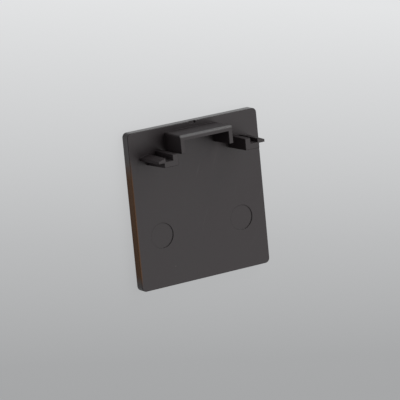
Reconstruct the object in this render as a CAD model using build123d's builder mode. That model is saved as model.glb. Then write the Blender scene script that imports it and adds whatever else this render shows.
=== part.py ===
"""Profile end cap: one moulded plastic piece, modelled lying on its outer face.

The plate closes the end of a profile.  Three prongs stand on its inner face and push
into the profile: a bridge, which is open towards the middle of the plate, and a clip
on each side of it.  Each clip is a stout block with a slab beside it, and the slab
carries a barb that reaches outwards and leaves a channel between barb and block.

Frame: the origin is the centre of the outer face, +Z points from the outer face to the
tips of the prongs, and +Y points to the edge that the prongs stand beside.
"""
import os

from build123d import *

os.makedirs("parts", exist_ok=True)

# ---------------------------------------------------------------- driving dimensions
plate_width = 40.0             # along X
plate_height = 42.5            # along Y
plate_thickness = 2.85
plate_corner_radius = 1.3      # the four upright corners
outer_rim_radius = 0.4         # round the outer face
inner_rim_radius = 0.15        # round the inner face

bridge_height = 7.9            # prong heights are measured from the inner face
bridge_left = -8.9             # outer faces of the two legs, at the root
bridge_right = 7.25
bridge_top = 19.7              # outer face of the web
bridge_foot = 14.9             # free ends of the legs, at the tip
bridge_root_foot = 14.6
web_thickness = 1.45
leg_thickness = 1.35           # at the root
leg_draft = 0.8                # degrees
bridge_shoulder_radius = 0.5   # outer edges of the web
leg_edge_radius = 0.12

clip_height = 8.6
block_inner_x = 10.4           # faces that look towards the middle and into the channel
block_outer_x = 12.0
block_top = 15.4
clip_bottom = 12.35            # at the tip
clip_root_bottom = 12.1
channel_floor = 13.9
barb_inner_x = 14.17           # barb's face that looks into the channel
barb_top = 14.9
barb_edge_x = 16.4             # outer edge of the barb, at the tip
barb_root_edge_x = 16.95
barb_edge_top = 14.3
barb_edge_bottom = 13.6
slab_end_x = 14.65             # at the tip
slab_root_end_x = 14.9
clip_edge_bevel = 0.08

ejector_mark_diameter = 6.75
ejector_mark_depth = 0.2
ejector_mark_x = 12.4
ejector_mark_y = -7.35

gate_scar_width = 1.9          # where the gate was broken off, on the edge by the prongs
gate_scar_length = 0.7
gate_scar_depth = 0.4

# ------------------------------------------------------------------- derived values
edge_y = plate_height / 2
bridge_tip = plate_thickness + bridge_height
root_plane = Plane.XY.offset(plate_thickness)
clip_tip_plane = Plane.XY.offset(plate_thickness + clip_height)


def clip_outline(bottom, slab_end, barb_edge):
    """Block, slab and barb seen from the tip: the channel opens upwards between them."""
    return [
        (block_inner_x, bottom),
        (slab_end, bottom),
        (slab_end, barb_edge_bottom),
        (barb_edge, barb_edge_bottom),
        (barb_edge, barb_edge_top),
        (barb_inner_x, barb_top),
        (barb_inner_x, channel_floor),
        (block_outer_x, channel_floor),
        (block_outer_x, block_top),
        (block_inner_x, block_top),
    ]


with BuildPart() as clip:
    with BuildSketch(root_plane):
        Polygon(*clip_outline(clip_root_bottom, slab_root_end_x, barb_root_edge_x), align=None)
    with BuildSketch(clip_tip_plane):
        Polygon(*clip_outline(clip_bottom, slab_end_x, barb_edge_x), align=None)
    loft(ruled=True)
    chamfer(clip.faces().sort_by(Axis.Z)[-1].edges(), clip_edge_bevel)

with BuildPart() as bridge:
    with BuildSketch(Plane.YZ.offset(bridge_left)):
        Polygon(
            (bridge_root_foot, plate_thickness),
            (bridge_top, plate_thickness),
            (bridge_top, bridge_tip),
            (bridge_foot, bridge_tip),
            align=None,
        )
    extrude(amount=bridge_right - bridge_left)

    with BuildSketch(Plane.YZ.offset(bridge_left + leg_thickness)):
        Polygon(
            (bridge_root_foot, plate_thickness),
            (bridge_top - web_thickness, plate_thickness),
            (bridge_top - web_thickness, bridge_tip),
            (bridge_root_foot, bridge_tip),
            align=None,
        )
    extrude(amount=bridge_right - bridge_left - 2 * leg_thickness, mode=Mode.SUBTRACT)
    draft(bridge.faces().filter_by(Axis.X), root_plane, leg_draft)

    web_edges = bridge.edges().group_by(Axis.Y)[-1]
    fillet(web_edges.filter_by_position(Axis.Z, plate_thickness + 0.1, bridge_tip), bridge_shoulder_radius)

with BuildPart() as end_cap:
    with BuildSketch():
        RectangleRounded(plate_width, plate_height, plate_corner_radius)
    extrude(amount=plate_thickness)
    fillet(end_cap.faces().sort_by(Axis.Z)[0].edges(), outer_rim_radius)
    fillet(end_cap.faces().sort_by(Axis.Z)[-1].edges(), inner_rim_radius)

    with BuildSketch(root_plane):
        with Locations((-ejector_mark_x, ejector_mark_y), (ejector_mark_x, ejector_mark_y)):
            Circle(ejector_mark_diameter / 2)
    extrude(amount=-ejector_mark_depth, mode=Mode.SUBTRACT)

    with BuildSketch(root_plane):
        with Locations((0, edge_y)):
            Rectangle(gate_scar_width, 2 * gate_scar_length)
    extrude(amount=-gate_scar_depth, mode=Mode.SUBTRACT)

    add(bridge.part)
    add(clip.part)
    add(mirror(clip.part, about=Plane.YZ, mode=Mode.PRIVATE))

end_cap.part.label = "end_cap"
export_step(end_cap.part, "parts/end_cap.step")
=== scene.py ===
# %% [markdown]
# A profile end cap is a small plate of dark plastic that closes the sawn end of a profile.
# It is one moulding, and its shape is already complete in the CAD frame: a plate, a bridge
# and two clips.  What is left for Blender is its finish, and the light it is seen in.
# The cap lies on its outer face on a pale floor, with its prongs standing up.
# %% Load the cap
import math

import bpy
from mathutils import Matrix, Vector


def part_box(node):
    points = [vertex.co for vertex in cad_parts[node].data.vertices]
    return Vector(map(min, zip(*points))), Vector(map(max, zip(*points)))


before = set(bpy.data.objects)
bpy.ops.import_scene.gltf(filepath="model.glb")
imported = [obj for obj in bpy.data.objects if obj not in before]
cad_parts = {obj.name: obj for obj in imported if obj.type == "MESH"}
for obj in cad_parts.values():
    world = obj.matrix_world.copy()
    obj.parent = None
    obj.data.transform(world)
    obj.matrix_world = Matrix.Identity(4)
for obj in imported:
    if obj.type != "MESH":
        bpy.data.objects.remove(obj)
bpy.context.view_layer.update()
cap_low, cap_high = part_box("end_cap")
print("cap, mm:", [round(1000 * (high - low), 2) for low, high in zip(cap_low, cap_high)])

# %% [markdown]
# The loaded cap comes in selected, and an operator works on all that is selected.
# So everything is deselected before anything new is added.
# %% Clear the selection
bpy.ops.object.select_all(action="DESELECT")
cap = bpy.data.objects["end_cap"]
print("faces of the cap:", len(cap.data.polygons))

# %% [markdown]
# A finish is a graph of nodes, and a graph is long to write node by node.
# A small class wraps one socket and gives it the signs of arithmetic, so that a mask can be
# written as a formula, such as 1 - wear * 2.  One method adds every other node.
# %% A short way to write shader graphs
class Socket:
    """One output of a node, which can be used in formulas."""

    def __init__(self, graph, link):
        self.graph = graph
        self.link = link

    def math(self, operation, first, second=0.0, clamp=False):
        settings = {"operation": operation, "use_clamp": clamp}
        return self.graph.add("ShaderNodeMath", settings, {0: first, 1: second})

    def __add__(self, other):
        return self.math("ADD", self, other)

    def __radd__(self, other):
        return self.math("ADD", other, self)

    def __sub__(self, other):
        return self.math("SUBTRACT", self, other)

    def __rsub__(self, other):
        return self.math("SUBTRACT", other, self)

    def __mul__(self, other):
        return self.math("MULTIPLY", self, other)

    def __rmul__(self, other):
        return self.math("MULTIPLY", other, self)

    def __truediv__(self, other):
        return self.math("DIVIDE", self, other)

    def __rtruediv__(self, other):
        return self.math("DIVIDE", other, self)

    def clamped(self):
        return self.math("ADD", self, 0.0, clamp=True)

    def size(self):
        return self.math("ABSOLUTE", self)

    def over(self, start, end):
        """0 below start, 1 above end, and a smooth step between them."""
        settings = {"interpolation_type": "SMOOTHSTEP"}
        span = {"Value": self, "From Min": start, "From Max": end}
        return self.graph.add("ShaderNodeMapRange", settings, span)


# The numbers of the outputs that are used of nodes with several outputs.
OBJECT_PLACE = 3
CAMERA_RAY = 0
GLOSSY_RAY = 3
TRANSMISSION_RAY = 6
TRUE_NORMAL = 1
SCALAR_RESULT = 1


class Graph:
    """The nodes of one material or world."""

    def __init__(self, owner):
        owner.use_nodes = True
        self.tree = owner.node_tree
        self.tree.nodes.clear()

    def add(self, kind, settings=None, inputs=None, output=0):
        """A node of a kind: its settings are set first, then its sockets; one output comes back."""
        node = self.tree.nodes.new(kind)
        for name, value in (settings or {}).items():
            setattr(node, name, value)
        for name, value in (inputs or {}).items():
            if isinstance(value, Socket):
                self.tree.links.new(value.link, node.inputs[name])
            else:
                node.inputs[name].default_value = value
        return Socket(self, node.outputs[output]) if node.outputs else None

    def mix_colour(self, factor, first, second):
        """Colour inputs of a Mix node are its sockets 6 and 7, and its colour output is 2."""
        return self.add("ShaderNodeMix", {"data_type": "RGBA"}, {0: factor, 6: first, 7: second}, output=2)

    def noise(self, place, scale, detail=2.0, roughness=0.5):
        inputs = {"Vector": place, "Scale": scale, "Detail": detail, "Roughness": roughness}
        return self.add("ShaderNodeTexNoise", {}, inputs)


def grey_level(level):
    """A screen level from 0 to 255 as the linear value that a shader takes."""
    share = level / 255
    return share / 12.92 if share <= 0.04045 else ((share + 0.055) / 1.055) ** 2.4


def screen_colour(red, green, blue):
    return (grey_level(red), grey_level(green), grey_level(blue), 1.0)


print("mid grey 128 is", round(grey_level(128), 3), "in a shader")

# %% [markdown]
# The cap is moulded in black plastic with a satin face.  Such a face is not one even tone:
# the melt cools in slow clouds, the tool's spark-eroded skin leaves a fine grain, and long
# faint marks run away from the gate, where the melt came in.
# Each of these is its own mask, read from the cap's own coordinates in metres.
# %% Clouds, flow marks and grain
plastic = bpy.data.materials.new("satin_moulded_plastic")
g = Graph(plastic)
place = g.add("ShaderNodeTexCoord", output=OBJECT_PLACE)
x = g.add("ShaderNodeSeparateXYZ", {}, {"Vector": place}, output=0)
y = g.add("ShaderNodeSeparateXYZ", {}, {"Vector": place}, output=1)
z = g.add("ShaderNodeSeparateXYZ", {}, {"Vector": place}, output=2)

cloud_scale = 95.0
speckle_scale = 1500.0
grain_scale = 5200.0
clouds = g.noise(place, cloud_scale, 3.0, 0.55)
speckle = g.noise(place, speckle_scale, 2.0, 0.6)
grain = g.noise(place, grain_scale, 2.0, 0.6)
from_gate = g.add("ShaderNodeVectorMath", {"operation": "SUBTRACT"}, {0: place, 1: (0.0, cap_high.y, 0.0)})
flow_place = g.add("ShaderNodeVectorMath", {"operation": "MULTIPLY"}, {0: from_gate, 1: (330.0, 38.0, 90.0)})
flow = g.noise(flow_place, 1.0, 2.0, 0.5)
print("grain size, mm:", round(1000 / grain_scale, 2))

# %% [markdown]
# Edges rub first: in the box, on the bench, and on the profile.  A rubbed edge is paler and
# smoother than the face beside it.  A Bevel node turns the normals near an edge as if the
# edge were rounded, so where its normal leaves the true one there is an edge to wear.
# The turned normal also carries the bump, which softens the edges as a real mould does.
# %% Worn edges
edge_radius = 0.00016
soft_normal = g.add("ShaderNodeBevel", {"samples": 8}, {"Radius": edge_radius})
true_normal = g.add("ShaderNodeNewGeometry", output=TRUE_NORMAL)
normals = {0: soft_normal, 1: true_normal}
agreement = g.add("ShaderNodeVectorMath", {"operation": "DOT_PRODUCT"}, normals, output=SCALAR_RESULT)
edge = (1.0 - agreement).over(0.01, 0.22)
wear = (edge * clouds.over(0.35, 0.7)).clamped()
print("wear reaches, mm:", round(1000 * edge_radius, 2))

# %% [markdown]
# A bright line is painted along the rounded edge where the bridge's web meets the tip: a
# painted highlight where that edge catches the light, on a smoother finish.  Seen from the side
# that edge is one point, so the highlight is a round spot in height and depth along the whole bridge.
# %% The painted highlight on the bridge's edge
web_edge = (0.0, 0.01965, cap_high.z - 0.00075)
across_web = (0.0, 1.0, 1.0)
from_web_edge = g.add("ShaderNodeVectorMath", {"operation": "SUBTRACT"}, {0: place, 1: web_edge})
in_section = g.add("ShaderNodeVectorMath", {"operation": "MULTIPLY"}, {0: from_web_edge, 1: across_web})
to_web_edge = g.add("ShaderNodeVectorMath", {"operation": "LENGTH"}, {0: in_section}, output=SCALAR_RESULT)
painted_web_highlight = (1.0 - to_web_edge.over(0.00025, 0.00075)) * clouds.over(0.15, 0.45)
print("rubbed edge at height, mm:", round(1000 * web_edge[2], 2))

# %% [markdown]
# Scuffs are fine and few on a new part.  They are thin lines in one direction, made from
# noise that is squeezed across and stretched along, and they show only where the clouds allow.
# %% Scuffs
scuff_scale = (2600.0, 60.0, 400.0)
scuff_turn = {"Vector": place, "Angle": math.radians(24)}
scuff_place = g.add("ShaderNodeVectorRotate", {"rotation_type": "Z_AXIS"}, scuff_turn)
scuff_lines = g.add("ShaderNodeVectorMath", {"operation": "MULTIPLY"}, {0: scuff_place, 1: scuff_scale})
scuffs = g.noise(scuff_lines, 1.0, 1.0, 0.5).over(0.66, 0.76) * clouds.over(0.5, 0.65)
print("scuff width, mm:", round(1000 / scuff_scale[0], 2))

# %% [markdown]
# A dark face shows every fleck of dust.  The flecks are points of a cell pattern: a fleck
# sits at the middle of a cell, and only in the few cells whose random value is high.
# %% Flecks of dust
fleck_scale = 330.0
fleck_settings = {"feature": "F1", "distance": "EUCLIDEAN"}
fleck_inputs = {"Vector": place, "Scale": fleck_scale, "Randomness": 1.0}
to_fleck = g.add("ShaderNodeTexVoronoi", fleck_settings, fleck_inputs, output=0)
fleck_chance = g.add("ShaderNodeTexVoronoi", fleck_settings, fleck_inputs, output=1)
chance = g.add("ShaderNodeSeparateXYZ", {}, {"Vector": fleck_chance}, output=0)
dust = (1.0 - to_fleck.over(0.030, 0.070)) * chance.over(0.86, 0.90)
print("a fleck is about, mm:", round(2 * 0.05 * 1000 / fleck_scale, 2))

# %% [markdown]
# The rim of the plate was cut smoother in the tool than the two faces, so it mirrors more.
# It is the wall that lies within a few hundredths of a millimetre of the plate's outline.
# %% The smooth rim
half_width = cap_high.x
half_height = cap_high.y
rim_depth = 0.0002
rim_x = x.size().over(half_width - rim_depth, half_width - rim_depth / 4)
rim_y = y.size().over(half_height - rim_depth, half_height - rim_depth / 4)
rim = (rim_x + rim_y).clamped()
print("rim depth, mm:", 1000 * rim_depth)

# %% [markdown]
# The prongs come out of deep narrow pockets in the tool, which can't be polished, so they
# are duller than the plate on all their sides.  Their tips are flat and as smooth as the
# plate, so the mask starts just above the inner face and leaves out what faces up.
# %% The dull prongs
plate_top = 0.00285
facing_up = g.add("ShaderNodeSeparateXYZ", {}, {"Vector": true_normal}, output=2).over(0.75, 0.95)
prongs = z.over(plate_top + 0.00015, plate_top + 0.0006) * (1.0 - facing_up)
print("prongs start at, mm:", 1000 * plate_top)

# %% [markdown]
# The left side of the plate carries a painted brown reflection along its middle, and its two
# ends stay grey.  The mask is a soft band: on the side wall only, and along its middle only.
# %% The painted brown reflection on the side
side_x = cap_low.x
on_side = 1.0 - x.over(side_x + 0.00005, side_x + 0.0006)
along_side = (1.0 - y.over(0.0085, 0.0155)) * y.over(-0.0205, -0.0165)
painted_brown_reflection = on_side * along_side
print("brown band starts at x, mm:", round(1000 * side_x, 2))

# %% [markdown]
# Now the masks are put together.  The tone moves only a little, because the eye reads a
# strong cloud as dirt.  Roughness moves more, since satin plastic shows its life in its sheen.
# %% Put the plastic together
dark_tone = (0.0250, 0.0180, 0.0200, 1.0)
light_tone = (0.0330, 0.0245, 0.0270, 1.0)
rubbed_tone = (0.0600, 0.0560, 0.0570, 1.0)
painted_highlight_tone = (0.1500, 0.1450, 0.1470, 1.0)
dust_tone = (0.1600, 0.1550, 0.1500, 1.0)
painted_reflection_tone = (0.1500, 0.0600, 0.0120, 1.0)
tone = g.mix_colour((clouds * 0.6 + flow * 0.3 + speckle * 0.1).over(0.3, 0.7), dark_tone, light_tone)
tone = g.mix_colour(wear * 0.6, tone, rubbed_tone)
# A painted highlight: the pale line along the bridge's edge, where that edge catches the light.
tone = g.mix_colour(painted_web_highlight, tone, painted_highlight_tone)
tone = g.mix_colour(scuffs * 0.25, tone, rubbed_tone)
# A painted reflection: the brown band on the left side of the plate.
tone = g.mix_colour(painted_brown_reflection * 0.85, tone, painted_reflection_tone)
tone = g.mix_colour(dust * 0.6, tone, dust_tone)

satin = 0.34 + 0.10 * clouds + 0.06 * flow + 0.05 * speckle - 0.08 * wear - 0.05 * scuffs + 0.2 * dust
rim_polish = rim * (1.0 - painted_brown_reflection) * 0.24
sheen = satin + 0.24 * prongs - 0.20 * painted_web_highlight - rim_polish + 0.2 * painted_brown_reflection

relief = grain * 0.7 + speckle * 0.3 + scuffs * 0.3
bump_inputs = {"Strength": 0.25, "Distance": 0.00003, "Height": relief, "Normal": soft_normal}
bump = g.add("ShaderNodeBump", {}, bump_inputs)
shader = g.add(
    "ShaderNodeBsdfPrincipled",
    {},
    {"Base Color": tone, "Roughness": sheen, "Normal": bump, "IOR": 1.46},
)
g.add("ShaderNodeOutputMaterial", {}, {"Surface": shader})
for slot in cap.material_slots:
    slot.material = plastic
print("material slots on the cap:", len(cap.material_slots))

# %% [markdown]
# The floor is one wide sheet, paler towards the back, as a studio sweep looks when its far
# end catches more light.  The shade is in the floor's own colour, along one direction, and
# to the eye and to reflections a good part of it glows by itself, so that the background
# stays clean while the cap still lays a soft shadow on it.
# %% Floor
floor_size = 8.0
bpy.ops.mesh.primitive_plane_add(size=floor_size, location=(0, 0, 0))
floor = bpy.context.object
floor.name = "floor"

floor_paint = bpy.data.materials.new("floor_paint")
f = Graph(floor_paint)
floor_place = f.add("ShaderNodeTexCoord", output=OBJECT_PLACE)
back = Vector((0.1935, 0.9811, 0.0))
along_back = {0: floor_place, 1: back}
distance_back = f.add("ShaderNodeVectorMath", {"operation": "DOT_PRODUCT"}, along_back, output=SCALAR_RESULT)
near_end = -0.0545
far_end = 0.0525
share_back = (distance_back - near_end) / (far_end - near_end)
ramp = f.tree.nodes.new("ShaderNodeValToRGB")
tones = [(0.0, 171), (0.1, 173), (0.4, 193), (0.6, 208), (0.8, 221), (1.0, 234)]
while len(ramp.color_ramp.elements) < len(tones):
    ramp.color_ramp.elements.new(0.5)
for element, (position, level) in zip(ramp.color_ramp.elements, tones):
    element.position = position
    element.color = screen_colour(level - 1, level, level + 1)
f.tree.links.new(share_back.link, ramp.inputs["Fac"])
shade = Socket(f, ramp.outputs["Color"])

glow = f.add("ShaderNodeEmission", {}, {"Color": shade, "Strength": 1.0})
paint = f.add("ShaderNodeBsdfDiffuse", {}, {"Color": shade})
seen = f.add("ShaderNodeLightPath", output=CAMERA_RAY)
mirrored = f.add("ShaderNodeLightPath", output=GLOSSY_RAY)
refracted = f.add("ShaderNodeLightPath", output=TRANSMISSION_RAY)
glow_strength = 0.85
glow_share = (seen + mirrored + refracted).clamped() * glow_strength
surface = f.add("ShaderNodeMixShader", {}, {0: glow_share, 1: paint, 2: glow})
f.add("ShaderNodeOutputMaterial", {}, {"Surface": surface})
floor.data.materials.append(floor_paint)
print("floor, m:", floor_size)

# %% [markdown]
# The room around the floor is plain and pale to the eye, and dim as a light, so that the
# big soft boxes decide the shape of the light.
# %% World
world = bpy.data.worlds.new("pale_room")
bpy.context.scene.world = world
w = Graph(world)
eye = w.add("ShaderNodeLightPath", output=CAMERA_RAY)
room_light = 0.18
room_colour = w.mix_colour(eye, (room_light, room_light, room_light, 1.0), screen_colour(231, 231, 231))
room = w.add("ShaderNodeBackground", {}, {"Color": room_colour, "Strength": 1.0})
w.add("ShaderNodeOutputWorld", {}, {"Surface": room})
print("room light:", room_light)

# %% [markdown]
# Dark satin plastic shows its faces by what they mirror, more than by their own colour.
# So the soft boxes are large.  The first hangs where the inner face mirrors it towards the
# eye, and gives the face its even grey.  The second stands beyond the bridge's edge, low
# enough to draw a bright line on the bridge and to light the edge of the plate.
# %% Soft boxes
def soft_box(name, direction, distance, width, power):
    """A square lamp that hangs in a direction from the cap and faces it."""
    towards = Vector(direction).normalized()
    bpy.ops.object.light_add(type="AREA", location=towards * distance)
    lamp = bpy.context.object
    lamp.name = name
    lamp.data.size = width
    lamp.data.energy = power
    lamp.rotation_euler = towards.to_track_quat("Z", "Y").to_euler()
    return lamp


face_box = soft_box("face_box", (0.50, -0.08, 0.86), 0.9, 1.0, 4.6)
edge_box = soft_box("edge_box", (0.50, 0.72, 0.48), 0.8, 0.35, 1.3)
print("soft boxes, W:", face_box.data.energy, edge_box.data.energy)

# %% [markdown]
# The eye looks at the cap from the upper left of its inner face, from far off and through a
# long lens, which keeps the plate's edges nearly parallel.
# %% Camera
bpy.ops.object.camera_add(location=(-0.39642, 0.16998, 0.66654))
camera = bpy.context.object
camera.rotation_euler = (math.radians(-9.1295), math.radians(-31.8796), math.radians(-6.3036))
camera.data.sensor_width = 36.0
camera.data.lens = 270.0
camera.data.clip_start = 0.05
camera.data.clip_end = 20.0
bpy.context.scene.camera = camera
bpy.context.scene.view_settings.view_transform = "Standard"
print("camera stands off, m:", round(camera.location.length, 3))
